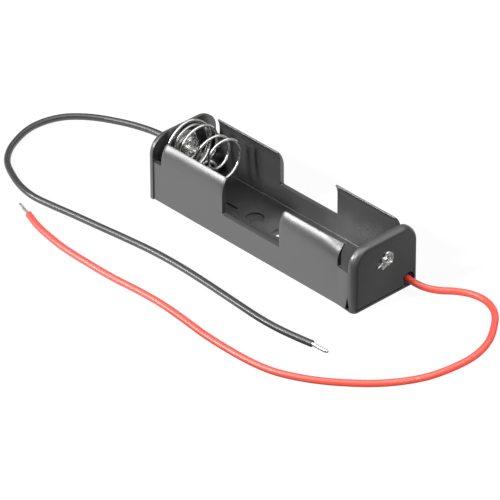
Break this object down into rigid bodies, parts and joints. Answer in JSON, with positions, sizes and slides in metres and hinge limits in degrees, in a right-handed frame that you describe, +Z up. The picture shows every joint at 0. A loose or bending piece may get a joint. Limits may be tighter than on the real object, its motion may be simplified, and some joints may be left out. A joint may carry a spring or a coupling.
{
  "type": "battery holder",
  "caption": "Black moulded holder for an AA cell, with snap clips, a coil spring contact and red and black wire leads.",
  "frame": {"origin": "on the underside, at the middle of the tray's length and width", "axes": "+X along the bay to the positive end, +Y to the side the leads leave from, +Z up out of the bay"},
  "size_m": [0.1212, 0.0482, 0.0155],
  "materials": {
    "black_moulding": "satin",
    "nickel_plate": "polished",
    "red_lead_cover": "satin",
    "black_lead_cover": "satin",
    "tinned_core": "satin"
  },
  "bodies": {
    "holder": {"holder_tray": "black_moulding", "negative_contact_plate": "nickel_plate", "positive_contact_plate": "nickel_plate", "negative_eyelet": "nickel_plate", "positive_eyelet": "nickel_plate", "negative_solder_joint": "tinned_core", "positive_solder_joint": "tinned_core", "red_lead": "red_lead_cover", "black_lead": "black_lead_cover", "red_tinned_end": "tinned_core", "black_tinned_end": "tinned_core", "red_lead_root": "red_lead_cover", "black_lead_root": "black_lead_cover"},
    "spring": {"contact_spring": "nickel_plate"}
  },
  "joints": [
    {"name": "spring_compression", "type": "slide", "parent": "holder", "child": "spring", "axis": [-1, 0, 0], "range_m": [0, 0.01], "stiffness_N_per_m": 300, "deforming": ["contact_spring"]}
  ]
}
